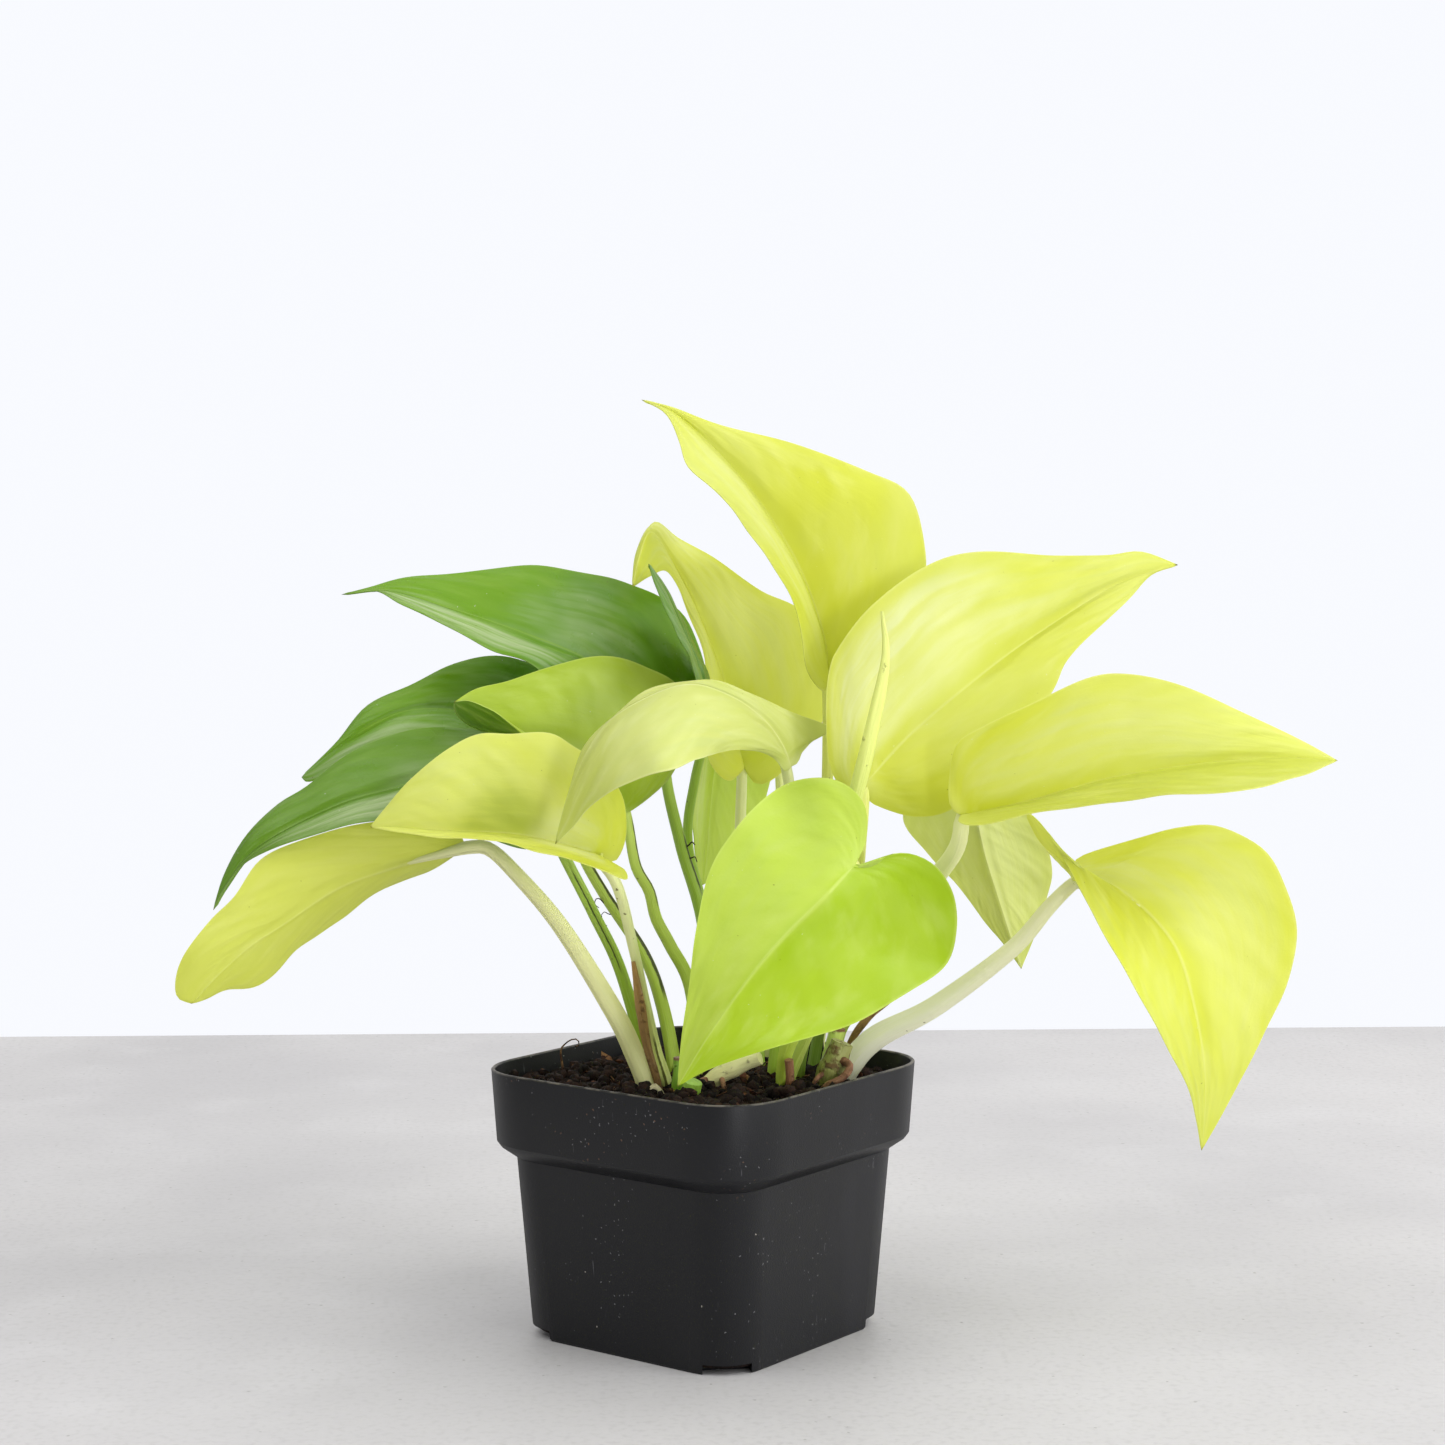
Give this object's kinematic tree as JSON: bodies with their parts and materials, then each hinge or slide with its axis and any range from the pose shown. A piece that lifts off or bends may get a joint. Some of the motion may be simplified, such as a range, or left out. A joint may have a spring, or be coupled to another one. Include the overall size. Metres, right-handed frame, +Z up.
{
  "type": "potted neon pothos",
  "caption": "Bushy neon pothos with heart-shaped chartreuse and green leaves on long stalks, in soil in a square black nursery pot.",
  "frame": {"origin": "middle of the pot's flat base, on the surface it stands on", "axes": "+Z up; +X to the right and +Y away from the viewer in the reference view; the pot is turned about Z"},
  "size_m": [0.3251, 0.1597, 0.2731],
  "materials": {
    "leaf_neon": "waxy satin",
    "leaf_lime": "waxy satin",
    "leaf_green": "waxy satin",
    "leaf_pale": "waxy satin",
    "stem": "satin",
    "sheath": "dry matt",
    "pot_plastic": "satin",
    "soil": "rough"
  },
  "bodies": {
    "root": {"pot": "pot_plastic", "soil": "soil", "leaf_top": "leaf_neon", "leaf_back_curled": "leaf_neon", "leaf_upper_right": "leaf_neon", "leaf_right": "leaf_neon", "leaf_far_right": "leaf_neon", "leaf_back_right": "leaf_pale", "leaf_front_heart": "leaf_lime", "leaf_arching": "leaf_pale", "leaf_front_left": "leaf_neon", "leaf_lime_left": "leaf_lime", "leaf_green_top": "leaf_green", "leaf_green_middle": "leaf_green", "leaf_green_low": "leaf_green", "leaf_far_left": "leaf_neon", "leaf_green_upright": "leaf_green", "leaf_back_hanging": "leaf_pale", "furled_leaf": "leaf_neon", "stem_cut_right": "stem", "stem_pale_front": "stem", "stem_stub_front": "stem", "stem_cut_left": "stem", "stem_stub_left": "stem", "stem_cut_centre": "stem", "root_front": "sheath", "sheath_back": "sheath", "sheath_left": "sheath", "sheath_right": "sheath"}
  },
  "joints": []
}
